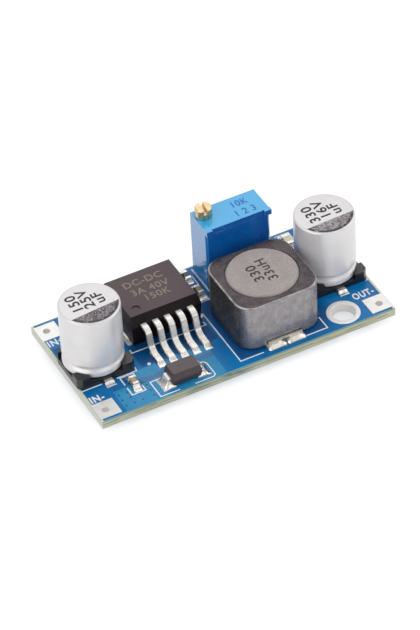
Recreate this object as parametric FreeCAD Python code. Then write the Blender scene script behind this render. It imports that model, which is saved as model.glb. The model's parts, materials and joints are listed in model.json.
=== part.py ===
import FreeCAD, Part
import math
import os

# Step-down converter module: a small circuit board with two upright can capacitors, a five-lead
# power regulator, a shielded power inductor, a multi-turn trimmer with a brass adjusting screw,
# a rectifier diode, four chip parts, four solder terminals and two mounting holes.
# Millimetres. The origin is at the centre of the board's underside, +X points to the output end,
# +Y to the long edge with the trimmer, and +Z up, out of the component side.

V = FreeCAD.Vector
UP = V(0, 0, 1)
LEFT, RIGHT, FRONT, BACK = V(-1, 0, 0), V(1, 0, 0), V(0, -1, 0), V(0, 1, 0)

# Board and its plated copper
board_thickness = 1.2
land_thickness = 0.06
barrel_wall = 0.1
terminal_hole_radius = 0.5
terminal_end_margin = 0.1
terminal_side_margin = 0.5
terminal_ring_gap = 0.92
terminal_land_shift_x = 0.2
terminal_land_shift_y = 0.15
mounting_hole_radius = 1.6
mounting_ring_radius = 2.3
mounting_hole_base_overlap = 1.98
mounting_hole_inset_y = 2.75

# Gaps of the layout along X, from the input end to the output end
input_end_margin = 0.0
regulator_gap = 1.6
inductor_gap = 1.6
output_capacitor_gap = 0.95
output_end_margin = 0.25

# Gaps of the layout along Y
regulator_back_margin = 0.35
diode_front_margin = 0.97
diode_gap = 1.68
inductor_front_margin = 0.85
trimmer_back_margin = 0.94
input_capacitor_offset_y = 0.25
output_capacitor_offset_y = 0.4

# Can capacitor: a rolled aluminium can crimped over its bung, on a moulded base with two flat leads
can_radius = 4.14
can_height = 9.45
can_top_round = 0.3
can_bottom_round = 0.35
can_groove_height = 1.1
can_groove_half = 0.45
can_groove_depth = 0.3
can_seat_clearance = 0.06
base_size = 8.3
base_floor = 0.8
base_corner_height = 1.6
base_large_chamfer = 2.0
base_small_chamfer = 0.6
base_side_opening = 4.6
can_lead_width = 1.1
can_lead_thickness = 0.3
can_lead_overhang = 0.4
can_lead_inner_reach = 1.3
can_lead_bend = 0.25

# Power regulator: a moulded body on a metal tab, with five formed leads
regulator_width = 10.2
regulator_length = 8.9
regulator_height = 4.35
regulator_parting_height = 3.05
regulator_bottom_inset = 0.15
regulator_top_inset_side = 0.3
regulator_top_inset_front = 0.8
regulator_top_inset_back = 0.3
regulator_dimple_radius = 0.6
regulator_dimple_depth = 0.15
regulator_dimple_inset_x = 1.4
regulator_dimple_inset_y = 1.25
tab_thickness = 1.27
tab_side_inset = 0.3
tab_reach = 1.1
tab_inner_inset = 1.7
tab_chamfer = 0.9
lead_count = 5
lead_width = 0.8
lead_thickness = 0.4
lead_root = 0.9
lead_flat = 1.3
lead_slope_run = 0.85
lead_foot = 2.5
lead_upper_bend = 0.9
lead_lower_bend = 1.6

# Shielded power inductor: a square ferrite shield round a wound drum core, on two clips
inductor_width = 12.0
inductor_depth = 11.4
inductor_corner = 2.5
inductor_top_round = 0.3
shield_bottom_gap = 0.24
shield_height = 6.9
shield_core_gap = 0.2
core_radius = 4.8
core_proud = 0.25
core_edge_round = 0.15
flange_thickness = 1.0
bond_recess = 0.2
core_post_radius = 2.2
winding_radius = 4.4
winding_clearance = 0.05
clip_width = 5.0
clip_thickness = 0.25
clip_riser = 0.72
clip_inner_reach = 3.2
clip_stand_off = 0.1
clip_bend = 0.25
clip_window_width = 1.1
clip_window_drop = 0.22
clip_window_height = 0.3
clip_shield_clearance = 0.12
clip_land_margin = 0.25

# Multi-turn trimmer: a housing with a brass worm screw that turns a toothed wiper wheel
trimmer_offset_x = 1.98
trimmer_length = 9.53
trimmer_depth = 4.5
trimmer_height = 10.2
trimmer_corner = 0.3
trimmer_wall = 0.6
trimmer_top_wall = 1.0
trimmer_foot_length = 1.5
trimmer_foot_height = 0.25
trimmer_ear_length = 0.87
trimmer_ear_height = 0.8
trimmer_ear_reach = 0.34
trimmer_ear_overhang = 0.1
trimmer_ear_root = 0.3
trimmer_mark_radius = 0.3
trimmer_mark_depth = 0.08
trimmer_mark_inset_x = 2.4
trimmer_mark_drop = 0.6
screw_inset = 1.33
screw_head_radius = 1.15
screw_head_height = 1.45
screw_head_chamfer = 0.15
screw_slot_width = 0.45
screw_slot_depth = 0.65
screw_slot_angle = 82.0
screw_neck_radius = 0.55
screw_collar_radius = 0.68
screw_collar_height = 0.4
screw_pivot_radius = 0.4
screw_pivot_length = 0.4
running_clearance = 0.05
seal_ring_radius = 1.05
seal_ring_height = 0.4
worm_radius = 0.55
worm_mesh_gap = 0.08
wheel_radius = 3.2
wheel_teeth = 30
wheel_tooth_depth = 0.4
wheel_tooth_root_share = 0.32
wheel_tooth_tip_share = 0.14
wheel_thickness = 1.0
wheel_hub_radius = 1.2
wheel_hub_length = 0.75
wheel_pivot_radius = 0.5
wheel_pivot_depth = 0.35
wiper_radius = 2.6
wiper_thickness = 0.15
wiper_finger_width = 0.6
wiper_finger_start = 1.4
wiper_finger_end = 2.4
element_thickness = 0.63
element_top_gap = 0.3
base_seal_thickness = 1.3
base_seal_recess = 0.2
pin_radius = 0.25
pin_pitch = 2.54
pin_hole_radius = 0.45
pin_below_board = 0.9
pin_land_radius = 0.95
solder_cone_radius = 0.8
solder_cone_tip = 0.35
solder_cone_height = 0.7

# Rectifier diode: a moulded block with a strap folded under each end
diode_length = 4.3
diode_width = 2.6
diode_height = 2.2
diode_parting_height = 1.15
diode_draft = 0.2
diode_shift_x = -2.08
strap_width = 1.4
strap_thickness = 0.2
strap_stand_off = 0.4
strap_root = 0.4
strap_fold = 1.0
strap_bend = 0.2

# Chip parts, each with two plated ends
chip_long, chip_wide = 1.6, 0.8
chip_end = 0.35
chip_end_skin = 0.04
filter_capacitor_height = 0.8
filter_capacitor_base_overlap = 1.55
filter_capacitor_inset_y = 4.35
feedback_capacitor_height = 0.8
feedback_resistor_height = 0.5
feedback_trimmer_gap = 1.03
feedback_resistor_back_inset = 1.65
feedback_chip_spacing = 3.65
indicator_long, indicator_wide, indicator_height = 2.0, 1.25, 0.8
indicator_base_overlap = 2.45
indicator_inset_y = 2.45
indicator_end = 0.45

# Solder: how far a land reaches past a foot, and how high the solder climbs
land_side_margin = 0.2
tab_land_margin = 0.5
can_land_inner_reach = 2.3
land_toe = 0.85
solder_reach = 0.75
solder_climb = 0.55
solder_sag = 0.15

# Layout worked out from the sizes above
lead_pitch = regulator_width / (lead_count + 1)
tab_width = regulator_width - 2 * tab_side_inset
mounting_hole_inset_x = base_size - mounting_hole_base_overlap
terminal_land_size = mounting_hole_inset_x - mounting_ring_radius - terminal_ring_gap - terminal_end_margin
terminal_hole_inset_x = terminal_end_margin + terminal_land_size / 2 - terminal_land_shift_x
terminal_hole_inset_y = terminal_side_margin + terminal_land_size / 2 - terminal_land_shift_y
board_length = (
    input_end_margin + base_size + regulator_gap + regulator_width + inductor_gap
    + inductor_width + output_capacitor_gap + base_size + output_end_margin
)
lead_reach = lead_flat + lead_slope_run + lead_foot
board_width = (
    diode_front_margin + diode_width + diode_gap + land_toe + lead_reach
    + regulator_length + tab_reach + regulator_back_margin
)
left_edge, right_edge = -board_length / 2, board_length / 2
front_edge, back_edge = -board_width / 2, board_width / 2
seat = board_thickness + land_thickness

input_capacitor_x = left_edge + input_end_margin + base_size / 2
regulator_x = left_edge + input_end_margin + base_size + regulator_gap + regulator_width / 2
inductor_left = regulator_x + regulator_width / 2 + inductor_gap
inductor_x = inductor_left + inductor_width / 2
output_capacitor_x = right_edge - output_end_margin - base_size / 2
regulator_back = back_edge - regulator_back_margin - tab_reach
regulator_front = regulator_back - regulator_length
clip_overhang = clip_stand_off + clip_thickness
inductor_y = front_edge + inductor_front_margin + land_toe + clip_overhang + inductor_depth / 2
diode_x = regulator_x + diode_shift_x
diode_y = front_edge + diode_front_margin + diode_width / 2
trimmer_left = inductor_left + trimmer_offset_x
trimmer_back = back_edge - trimmer_back_margin
trimmer_front = trimmer_back - trimmer_depth
trimmer_top = board_thickness + trimmer_height
feedback_x = trimmer_left - feedback_trimmer_gap - chip_wide / 2
feedback_resistor_y = back_edge - feedback_resistor_back_inset
feedback_capacitor_y = feedback_resistor_y - feedback_chip_spacing


def span(centre, size):
    return (centre - size / 2, centre + size / 2)


def block(xs, ys, zs):
    return Part.makeBox(xs[1] - xs[0], ys[1] - ys[0], zs[1] - zs[0], V(xs[0], ys[0], zs[0]))


def rod(radius, x, y, zs):
    return Part.makeCylinder(radius, zs[1] - zs[0], V(x, y, zs[0]))


def prism(points, direction):
    return Part.Face(Part.makePolygon(points + points[:1])).extrude(direction)


def tapered(sections):
    wires = []
    for xs, ys, z in sections:
        corners = [V(xs[0], ys[0], z), V(xs[1], ys[0], z), V(xs[1], ys[1], z), V(xs[0], ys[1], z)]
        wires.append(Part.makePolygon(corners + corners[:1]))
    return Part.makeLoft(wires, True, True)


def turned(edges, x, y):
    return Part.Face(Part.Wire(edges)).revolve(V(x, y, 0), UP, 360)


def formed_strip(origin, along, corners, radii, thickness, width):
    """A flat strip bent in the plane of `along` and Z. Corners are (distance, height) on its middle line."""
    path = [V(d, h, 0) for d, h in corners]
    stations = []
    for i, corner in enumerate(path):
        if i in (0, len(path) - 1):
            run = path[1] - path[0] if i == 0 else path[-1] - path[-2]
            stations.append((corner, run.normalize()))
            continue
        into = (corner - path[i - 1]).normalize()
        out = (path[i + 1] - corner).normalize()
        half = math.acos(max(-1.0, min(1.0, into.dot(out)))) / 2
        setback = radii[i - 1] * math.tan(half)
        bisector = (out - into).normalize()
        centre = corner + bisector * (radii[i - 1] / math.cos(half))
        middle = centre - bisector * radii[i - 1]
        stations += [
            (corner - into * setback, into),
            (middle, (into + out).normalize()),
            (corner + out * setback, out),
        ]
    side = UP.cross(along)

    def place(station, offset):
        point, heading = station
        moved = point + V(-heading.y, heading.x, 0) * offset
        return origin + along * moved.x + UP * moved.y - side * (width / 2)

    upper = [place(s, thickness / 2) for s in stations]
    lower = [place(s, -thickness / 2) for s in stations]
    edges = []
    for rail in (upper, lower):
        for i in range(0, len(rail) - 1, 3):
            edges.append(Part.makeLine(rail[i], rail[i + 1]))
            if i + 3 < len(rail):
                edges.append(Part.Arc(rail[i + 1], rail[i + 2], rail[i + 3]).toShape())
    edges += [Part.makeLine(upper[0], lower[0]), Part.makeLine(upper[-1], lower[-1])]
    wire = Part.Wire(Part.__sortEdges__(edges))
    return Part.Face(wire).extrude(side * width)


def solder_wedge(foot, outward, width, reach, height):
    """A concave fillet of solder that climbs from a land to an upright face."""
    side = UP.cross(outward)
    heel = foot - side * (width / 2)
    toe = heel + outward * reach
    crest = heel + UP * height
    sag = heel + outward * (reach * solder_sag) + UP * (height * solder_sag)
    curve = Part.BezierCurve()
    curve.setPoles([toe, sag, crest])
    outline = [Part.makeLine(crest, heel), Part.makeLine(heel, toe), curve.toShape()]
    return Part.Face(Part.Wire(outline)).extrude(side * width)


def land(xs, ys):
    return block(xs, ys, (board_thickness, seat))


def circuit_board():
    board = block((left_edge, right_edge), (front_edge, back_edge), (0, board_thickness))
    through = (-1, board_thickness + 1)
    holes = [rod(terminal_hole_radius + barrel_wall, x, y, through) for x, y in terminal_holes()]
    holes += [rod(mounting_hole_radius + barrel_wall, x, y, through) for x, y in mounting_holes()]
    holes += [rod(pin_hole_radius, x, pin_row_y(), through) for x in pin_places()]
    return board.cut(Part.makeCompound(holes))


def terminal_holes():
    x = right_edge - terminal_hole_inset_x
    y = back_edge - terminal_hole_inset_y
    return [(-x, y), (-x, -y), (x, y), (x, -y)]


def mounting_holes():
    x = right_edge - mounting_hole_inset_x
    y = back_edge - mounting_hole_inset_y
    return [(x, -y), (-x, y)]


def pin_places():
    middle = trimmer_left + trimmer_length / 2
    return [middle + i * pin_pitch for i in (-1, 0, 1)]


def pin_row_y():
    return trimmer_back - (trimmer_depth + trimmer_ear_reach) / 2


def terminal_land(x, y):
    centre_x = x - math.copysign(terminal_land_shift_x, x)
    centre_y = y - math.copysign(terminal_land_shift_y, y)
    xs, ys = span(centre_x, terminal_land_size), span(centre_y, terminal_land_size)
    plated = land(xs, ys).fuse(block(xs, ys, (-land_thickness, 0)))
    plated = plated.fuse(rod(terminal_hole_radius + barrel_wall, x, y, (-land_thickness, seat)))
    return plated.cut(rod(terminal_hole_radius, x, y, (-1, seat + 1)))


def mounting_ring(x, y):
    ring = rod(mounting_ring_radius, x, y, (board_thickness, seat))
    ring = ring.fuse(rod(mounting_ring_radius, x, y, (-land_thickness, 0)))
    ring = ring.fuse(rod(mounting_hole_radius + barrel_wall, x, y, (-land_thickness, seat)))
    return ring.cut(rod(mounting_hole_radius, x, y, (-1, seat + 1)))


def can(x, y):
    bottom, top = seat + base_floor, seat + base_floor + can_height
    groove = bottom + can_groove_height
    inner = can_radius - can_bottom_round
    shoulder = can_radius - can_top_round
    diagonal = math.sqrt(0.5)

    def at(r, z):
        return V(x + r, y, z)

    rounded_foot = Part.Arc(
        at(inner, bottom),
        at(inner + can_bottom_round * diagonal, bottom + can_bottom_round * (1 - diagonal)),
        at(can_radius, bottom + can_bottom_round),
    )
    crimp = Part.Arc(
        at(can_radius, groove - can_groove_half),
        at(can_radius - can_groove_depth, groove),
        at(can_radius, groove + can_groove_half),
    )
    rounded_top = Part.Arc(
        at(can_radius, top - can_top_round),
        at(shoulder + can_top_round * diagonal, top - can_top_round * (1 - diagonal)),
        at(shoulder, top),
    )
    outline = [
        Part.makeLine(at(0, bottom), at(inner, bottom)),
        rounded_foot.toShape(),
        Part.makeLine(at(can_radius, bottom + can_bottom_round), at(can_radius, groove - can_groove_half)),
        crimp.toShape(),
        Part.makeLine(at(can_radius, groove + can_groove_half), at(can_radius, top - can_top_round)),
        rounded_top.toShape(),
        Part.makeLine(at(shoulder, top), at(0, top)),
        Part.makeLine(at(0, top), at(0, bottom)),
    ]
    return turned(outline, x, y)


def can_lead(x, y, outward):
    """A flat lead that drops from the can through the base and runs out under it."""
    middle = can_lead_thickness / 2
    corners = [
        (can_lead_inner_reach, base_floor),
        (can_lead_inner_reach, middle),
        (base_size / 2 + can_lead_overhang, middle),
    ]
    return formed_strip(V(x, y, seat), outward, corners, [can_lead_bend], can_lead_thickness, can_lead_width)


def can_base(x, y, leads):
    half = base_size / 2
    big, small = base_large_chamfer, base_small_chamfer
    outline = [
        V(x - half + small, y - half, seat), V(x + half - small, y - half, seat),
        V(x + half, y - half + small, seat), V(x + half, y + half - big, seat),
        V(x + half - big, y + half, seat), V(x - half + big, y + half, seat),
        V(x - half, y + half - big, seat), V(x - half, y - half + small, seat),
    ]
    base = prism(outline, UP * base_corner_height)
    above = (seat + base_floor, seat + base_corner_height + 1)
    pocket = rod(can_radius + can_seat_clearance, x, y, above)
    across = block(span(x, base_size + 1), span(y, base_side_opening), above)
    along = block(span(x, base_side_opening), span(y, base_size + 1), above)
    return base.cut(Part.makeCompound([pocket])).cut(across).cut(along).cut(leads[0]).cut(leads[1])


def can_solder(x, y, outward):
    tip = base_size / 2 + can_lead_overhang
    width = can_lead_width + 2 * land_side_margin
    start, end = sorted((y + outward.y * can_land_inner_reach, y + outward.y * (tip + land_toe)))
    joint = land(span(x, width), (start, end))
    foot = V(x, y, seat) + outward * tip
    return joint.fuse(solder_wedge(foot, outward, can_lead_width, solder_reach, can_lead_thickness))


def can_capacitor(name, x, y):
    leads = [can_lead(x, y, FRONT), can_lead(x, y, BACK)]
    return {
        name + "_can": can(x, y),
        name + "_base": can_base(x, y, leads),
        name + "_leads": Part.makeCompound(leads),
        name + "_solder": Part.makeCompound([can_solder(x, y, FRONT), can_solder(x, y, BACK)]),
    }


def lead_places():
    return [regulator_x + (i - (lead_count - 1) / 2) * lead_pitch for i in range(lead_count)]


def regulator_lead(x):
    exit_height = regulator_parting_height
    middle = lead_thickness / 2
    corners = [
        (-lead_root, exit_height),
        (lead_flat, exit_height),
        (lead_flat + lead_slope_run, middle),
        (lead_reach, middle),
    ]
    bends = [lead_upper_bend, lead_lower_bend]
    return formed_strip(V(x, regulator_front, seat), FRONT, corners, bends, lead_thickness, lead_width)


def regulator_tab():
    xs = span(regulator_x, tab_width)
    near = regulator_front + tab_inner_inset
    far = regulator_back + tab_reach
    outline = [
        V(xs[0], near, seat), V(xs[1], near, seat), V(xs[1], far - tab_chamfer, seat),
        V(xs[1] - tab_chamfer, far, seat), V(xs[0] + tab_chamfer, far, seat),
        V(xs[0], far - tab_chamfer, seat),
    ]
    return prism(outline, UP * tab_thickness)


def regulator():
    leads = [regulator_lead(x) for x in lead_places()]
    tab = regulator_tab()
    low, side = regulator_bottom_inset, regulator_top_inset_side
    top = seat + regulator_height
    body = tapered([
        (
            span(regulator_x, regulator_width - 2 * low),
            (regulator_front + low, regulator_back - low),
            seat,
        ),
        (
            span(regulator_x, regulator_width),
            (regulator_front, regulator_back),
            seat + regulator_parting_height,
        ),
        (
            span(regulator_x, regulator_width - 2 * side),
            (regulator_front + regulator_top_inset_front, regulator_back - regulator_top_inset_back),
            top,
        ),
    ])
    dimple = rod(
        regulator_dimple_radius,
        regulator_x - regulator_width / 2 + side + regulator_dimple_inset_x,
        regulator_front + regulator_top_inset_front + regulator_dimple_inset_y,
        (top - regulator_dimple_depth, top + 1),
    )
    body = body.cut(dimple).cut(tab)
    for lead in leads:
        body = body.cut(lead)
    nodes = {"regulator_body": body, "regulator_tab": tab}
    for i, lead in enumerate(leads):
        nodes["regulator_lead_%d" % (i + 1)] = lead
    nodes["regulator_solder"] = regulator_solder()
    return nodes


def regulator_solder():
    width = lead_width + 2 * land_side_margin
    toe = regulator_front - lead_reach
    heel = toe + lead_foot
    joints = []
    for x in lead_places():
        joint = land(span(x, width), (toe - land_toe, heel))
        joints.append(joint.fuse(solder_wedge(V(x, toe, seat), FRONT, width, land_toe, lead_thickness)))
    wide = span(regulator_x, regulator_width + 2 * tab_land_margin)
    ends = (regulator_front + tab_land_margin, regulator_back + tab_reach + land_side_margin)
    joints.append(land(wide, ends))
    return Part.makeCompound(joints)


def rounded_block(x, y, width, depth, corner, zs):
    hw, hd, r = width / 2, depth / 2, corner
    k = r * (1 - math.sqrt(0.5))
    z = zs[0]

    def at(dx, dy):
        return V(x + dx, y + dy, z)

    edges = [
        Part.makeLine(at(-hw + r, -hd), at(hw - r, -hd)),
        Part.Arc(at(hw - r, -hd), at(hw - k, -hd + k), at(hw, -hd + r)).toShape(),
        Part.makeLine(at(hw, -hd + r), at(hw, hd - r)),
        Part.Arc(at(hw, hd - r), at(hw - k, hd - k), at(hw - r, hd)).toShape(),
        Part.makeLine(at(hw - r, hd), at(-hw + r, hd)),
        Part.Arc(at(-hw + r, hd), at(-hw + k, hd - k), at(-hw, hd - r)).toShape(),
        Part.makeLine(at(-hw, hd - r), at(-hw, -hd + r)),
        Part.Arc(at(-hw, -hd + r), at(-hw + k, -hd + k), at(-hw + r, -hd)).toShape(),
    ]
    return Part.Face(Part.Wire(edges)).extrude(UP * (zs[1] - zs[0]))


def inductor_shield():
    zs = (seat + shield_bottom_gap, seat + shield_bottom_gap + shield_height)
    shield = rounded_block(inductor_x, inductor_y, inductor_width, inductor_depth, inductor_corner, zs)
    rim = [e for e in shield.Edges if min(v.Z for v in e.Vertexes) > zs[1] - 1e-6]
    shield = shield.makeFillet(inductor_top_round, rim)
    shield = shield.cut(rod(core_radius + shield_core_gap, inductor_x, inductor_y, (0, zs[1] + 1)))
    notch_top = seat + clip_riser + clip_shield_clearance
    notch = block(
        span(inductor_x, clip_width + 2 * clip_shield_clearance),
        span(inductor_y, inductor_depth + 1),
        (0, notch_top),
    )
    return shield.cut(notch)


def inductor_core():
    bottom = seat + clip_thickness
    top = seat + shield_bottom_gap + shield_height + core_proud
    r, post = core_radius, core_post_radius
    c = core_edge_round

    def at(radius, z):
        return V(inductor_x + radius, inductor_y, z)

    points = [
        at(0, bottom), at(r, bottom), at(r, bottom + flange_thickness), at(post, bottom + flange_thickness),
        at(post, top - flange_thickness), at(r, top - flange_thickness), at(r, top - c), at(r - c, top),
        at(0, top),
    ]
    return turned(Part.makePolygon(points + points[:1]).Edges, inductor_x, inductor_y)


def inductor_winding():
    bottom = seat + clip_thickness + flange_thickness + winding_clearance
    top = seat + shield_bottom_gap + shield_height + core_proud - flange_thickness - winding_clearance
    coil = rod(winding_radius, inductor_x, inductor_y, (bottom, top))
    return coil.cut(rod(core_post_radius + winding_clearance, inductor_x, inductor_y, (0, top + 1)))


def inductor_bond():
    """The ring of adhesive that holds the shield to the top disc of the core."""
    top = seat + shield_bottom_gap + shield_height - bond_recess
    bottom = seat + shield_bottom_gap + shield_height + core_proud - flange_thickness
    ring = rod(core_radius + shield_core_gap, inductor_x, inductor_y, (bottom, top))
    return ring.cut(rod(core_radius, inductor_x, inductor_y, (0, top + 1)))


def inductor_clip(outward):
    middle = clip_thickness / 2
    face = inductor_depth / 2 + clip_stand_off + middle
    corners = [(face - clip_inner_reach, middle), (face, middle), (face, clip_riser)]
    clip = formed_strip(
        V(inductor_x, inductor_y, seat), outward, corners, [clip_bend], clip_thickness, clip_width
    )
    window_top = seat + clip_riser - clip_window_drop
    window = block(
        span(inductor_x, clip_window_width),
        span(inductor_y + outward.y * face, 4 * clip_thickness),
        (window_top - clip_window_height, window_top),
    )
    return clip.cut(window)


def inductor_solder(outward):
    face = inductor_depth / 2 + clip_overhang
    start, end = sorted((
        inductor_y + outward.y * (face - clip_inner_reach),
        inductor_y + outward.y * (face + land_toe),
    ))
    joint = land(span(inductor_x, clip_width + 2 * clip_land_margin), (start, end))
    lobe = (clip_width - clip_window_width) / 2
    for side in (-1, 1):
        foot = V(inductor_x + side * (clip_window_width + lobe) / 2, inductor_y, seat) + outward * face
        joint = joint.fuse(solder_wedge(foot, outward, lobe, solder_reach, clip_riser - clip_bend))
    return joint


def inductor():
    return {
        "inductor_shield": inductor_shield(),
        "inductor_core": inductor_core(),
        "inductor_winding": inductor_winding(),
        "inductor_bond": inductor_bond(),
        "inductor_front_clip": inductor_clip(FRONT),
        "inductor_back_clip": inductor_clip(BACK),
        "inductor_solder": Part.makeCompound([inductor_solder(FRONT), inductor_solder(BACK)]),
    }


screw_x = trimmer_left + screw_inset
screw_y = trimmer_back - screw_inset
seal_bottom = board_thickness + trimmer_foot_height + base_seal_recess
seal_top = seal_bottom + base_seal_thickness
cavity_top = trimmer_top - trimmer_top_wall
wheel_x = screw_x + worm_radius + worm_mesh_gap + wheel_radius
wheel_z = (seal_top + cavity_top) / 2
wheel_front = screw_y - wheel_thickness / 2
wheel_back = screw_y + wheel_thickness / 2
element_front = trimmer_front + trimmer_wall
element_back = element_front + element_thickness


def trimmer_cavity():
    xs = (trimmer_left + trimmer_wall, trimmer_left + trimmer_length - trimmer_wall)
    return xs, (element_front, trimmer_back - trimmer_wall)


def trimmer_housing():
    right = trimmer_left + trimmer_length
    c = trimmer_corner
    z = board_thickness
    outline = [
        V(trimmer_left, trimmer_back, z), V(trimmer_left, trimmer_front + c, z),
        V(trimmer_left + c, trimmer_front, z), V(right - c, trimmer_front, z),
        V(right, trimmer_front + c, z), V(right, trimmer_back, z),
    ]
    housing = prism(outline, UP * trimmer_height)
    ear_y = (trimmer_front - trimmer_ear_reach, trimmer_front + trimmer_ear_root)
    ear_z = (trimmer_top - trimmer_ear_height, trimmer_top)
    housing = housing.fuse(block((trimmer_left, trimmer_left + trimmer_ear_length), ear_y, ear_z))
    right_ear = (right - trimmer_ear_length, right + trimmer_ear_overhang)
    housing = housing.fuse(block(right_ear, ear_y, ear_z)).removeSplitter()
    xs, ys = trimmer_cavity()
    housing = housing.cut(block(xs, ys, (0, cavity_top)))
    relief = block(
        (trimmer_left + trimmer_foot_length, right - trimmer_foot_length),
        (trimmer_front - 1, trimmer_back + 1),
        (0, board_thickness + trimmer_foot_height),
    )
    bore = rod(screw_neck_radius + running_clearance, screw_x, screw_y, (cavity_top - 1, trimmer_top + 1))
    ring_seat = rod(seal_ring_radius, screw_x, screw_y, (trimmer_top - seal_ring_height, trimmer_top + 1))
    wheel_socket = Part.makeCylinder(
        wheel_pivot_radius + running_clearance,
        wheel_pivot_depth + running_clearance,
        V(wheel_x, ys[1], wheel_z),
        BACK,
    )
    mark = Part.makeCylinder(
        trimmer_mark_radius,
        trimmer_mark_depth,
        V(trimmer_left + trimmer_mark_inset_x, trimmer_front, trimmer_top - trimmer_mark_drop),
        BACK,
    )
    return housing.cut(relief).cut(bore).cut(ring_seat).cut(wheel_socket).cut(mark)


def trimmer_screw():
    head_bottom = trimmer_top + running_clearance
    head_top = head_bottom + screw_head_height
    collar_top = cavity_top - running_clearance
    collar_bottom = collar_top - screw_collar_height
    r, c = screw_head_radius, screw_head_chamfer

    def at(radius, z):
        return V(screw_x + radius, screw_y, z)

    points = [
        at(0, head_top), at(r - c, head_top), at(r, head_top - c), at(r, head_bottom),
        at(screw_neck_radius, head_bottom), at(screw_neck_radius, collar_top),
        at(screw_collar_radius, collar_top), at(screw_collar_radius, collar_bottom),
        at(worm_radius, collar_bottom), at(worm_radius, seal_top + running_clearance),
        at(screw_pivot_radius, seal_top + running_clearance),
        at(screw_pivot_radius, seal_top - screw_pivot_length),
        at(0, seal_top - screw_pivot_length),
    ]
    screw = turned(Part.makePolygon(points + points[:1]).Edges, screw_x, screw_y)
    slot = block(
        span(screw_x, 4 * r),
        span(screw_y, screw_slot_width),
        (head_top - screw_slot_depth, head_top + 1),
    )
    slot.rotate(V(screw_x, screw_y, 0), UP, screw_slot_angle)
    return screw.cut(slot)


def trimmer_seal_ring():
    ring = rod(seal_ring_radius, screw_x, screw_y, (trimmer_top - seal_ring_height, trimmer_top))
    return ring.cut(rod(screw_neck_radius + running_clearance, screw_x, screw_y, (0, trimmer_top + 1)))


def trimmer_wheel():
    """The toothed wheel that the worm turns. A tooth has a flat tip, straight flanks and a flat root."""
    pitch = 2 * math.pi / wheel_teeth
    root = wheel_radius - wheel_tooth_depth
    foot, tip = wheel_tooth_root_share, wheel_tooth_tip_share
    shape = [(-foot, root), (-tip, wheel_radius), (tip, wheel_radius), (foot, root)]
    points = []
    for i in range(wheel_teeth):
        for share, radius in shape:
            angle = (i + 0.5 + share) * pitch
            x = wheel_x + radius * math.cos(angle)
            points.append(V(x, wheel_back, wheel_z + radius * math.sin(angle)))
    wheel = prism(points, FRONT * wheel_thickness)

    def axle(radius, start, length):
        return Part.makeCylinder(radius, length, V(wheel_x, start, wheel_z), FRONT)

    pivot_back = trimmer_back - trimmer_wall + wheel_pivot_depth
    hub_front = wheel_front - wheel_hub_length
    wheel = wheel.fuse(axle(wheel_hub_radius, wheel_front, wheel_hub_length))
    wheel = wheel.fuse(axle(wheel_pivot_radius, pivot_back, pivot_back - wheel_back))
    reach = hub_front - element_front - running_clearance
    return wheel.fuse(axle(wheel_pivot_radius, hub_front, reach))


def trimmer_wiper():
    face = wheel_front
    plate = Part.makeCylinder(wiper_radius, wiper_thickness, V(wheel_x, face, wheel_z), FRONT)
    plate = plate.cut(Part.makeCylinder(wheel_hub_radius, 1, V(wheel_x, face + 0.5, wheel_z), FRONT))
    tip = element_back + running_clearance
    root = face - wiper_thickness
    low = wheel_z - wiper_finger_width / 2
    for side in (-1, 1):
        start, end = side * wiper_finger_start, side * wiper_finger_end
        thick = side * wiper_thickness
        finger = prism(
            [
                V(wheel_x + start, root, low), V(wheel_x + start + thick, root, low),
                V(wheel_x + end, tip, low), V(wheel_x + end - thick, tip, low),
            ],
            UP * wiper_finger_width,
        )
        plate = plate.fuse(finger)
    return plate


def trimmer_element():
    xs, ys = trimmer_cavity()
    plate = block(xs, (element_front, element_back), (seal_top, cavity_top - element_top_gap))
    start = V(wheel_x, element_front - 0.5, wheel_z)
    hole = Part.makeCylinder(wheel_pivot_radius + running_clearance, element_thickness + 1, start, BACK)
    return plate.cut(hole)


def trimmer_pin(x):
    """A round pin that rises through the base seal and bends forward to the element."""
    y = pin_row_y()
    centre = seal_top + pin_radius
    upright = rod(pin_radius, x, y, (-pin_below_board, centre))
    arm = Part.makeCylinder(pin_radius, y - element_back, V(x, element_back, centre), BACK)
    return upright.fuse(arm).fuse(Part.makeSphere(pin_radius, V(x, y, centre)))


def trimmer_base_seal(pins):
    xs, ys = trimmer_cavity()
    seal = block(xs, ys, (seal_bottom, seal_top))
    socket_depth = screw_pivot_length + running_clearance
    seal = seal.cut(
        rod(screw_pivot_radius + running_clearance, screw_x, screw_y, (seal_top - socket_depth, seal_top + 1))
    )
    for pin in pins:
        seal = seal.cut(pin)
    return seal


def pin_solder(x):
    y = pin_row_y()
    joint = rod(pin_hole_radius, x, y, (0, board_thickness))
    joint = joint.fuse(rod(pin_land_radius, x, y, (-land_thickness, 0)))
    cone = Part.makeCone(
        solder_cone_radius, solder_cone_tip, solder_cone_height, V(x, y, -land_thickness), V(0, 0, -1)
    )
    return joint.fuse(cone).cut(rod(pin_radius, x, y, (-2 * pin_below_board, 2 * board_thickness)))


def trimmer():
    pins = [trimmer_pin(x) for x in pin_places()]
    nodes = {
        "trimmer_housing": trimmer_housing(),
        "trimmer_screw": trimmer_screw(),
        "trimmer_seal_ring": trimmer_seal_ring(),
        "trimmer_wheel": trimmer_wheel(),
        "trimmer_wiper": trimmer_wiper(),
        "trimmer_element": trimmer_element(),
        "trimmer_base_seal": trimmer_base_seal(pins),
        "trimmer_solder": Part.makeCompound([pin_solder(x) for x in pin_places()]),
    }
    for i, pin in enumerate(pins):
        nodes["trimmer_pin_%d" % (i + 1)] = pin
    return nodes


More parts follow.
